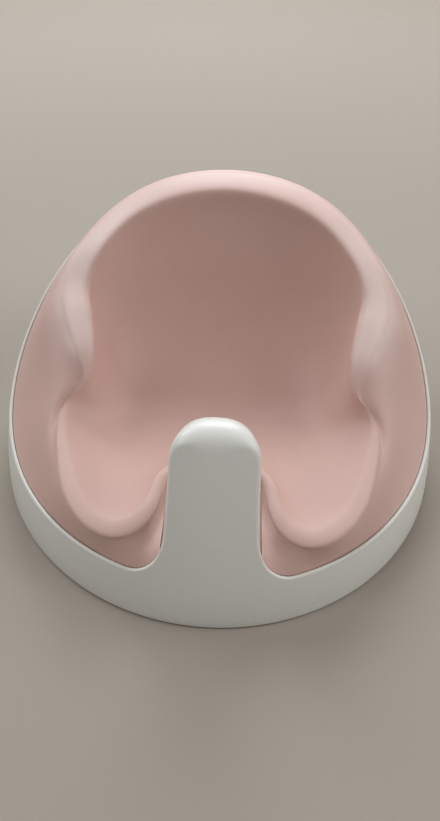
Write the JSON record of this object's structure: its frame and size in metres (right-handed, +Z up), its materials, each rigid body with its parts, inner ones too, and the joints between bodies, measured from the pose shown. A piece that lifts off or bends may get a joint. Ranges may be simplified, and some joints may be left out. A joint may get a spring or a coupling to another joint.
{
  "type": "baby floor seat",
  "caption": "Baby floor seat with a hard oval shell, a tall front pommel, and a soft moulded insert with raised back, arms and leg wells that lifts out of the shell.",
  "frame": {"origin": "on the floor, under the middle of the seat", "axes": "+Z up, -Y towards the front where the pommel stands, +X to the right seen from the front; the seat is the same on both sides of the plane x = 0"},
  "size_m": [0.41, 0.42, 0.1973],
  "materials": {
    "shell_plastic": "satin",
    "inner_plastic": "matte",
    "base_plastic": "matte",
    "soft_foam": "matte",
    "foot_rubber": "matte",
    "screw_steel": "satin"
  },
  "bodies": {
    "shell": {"outer_shell": "shell_plastic", "pommel_back": "shell_plastic", "pommel_screws": "screw_steel", "seat_tub": "inner_plastic", "base_plate": "base_plastic", "base_screws": "screw_steel", "foot_front_left": "foot_rubber", "foot_front_right": "foot_rubber", "foot_rear_left": "foot_rubber", "foot_rear_right": "foot_rubber"},
    "insert": {"seat_insert": "soft_foam"}
  },
  "joints": [
    {"name": "insert_lift", "type": "slide", "parent": "shell", "child": "insert", "axis": [0, 0, 1], "range_m": [0, 0.17]}
  ]
}
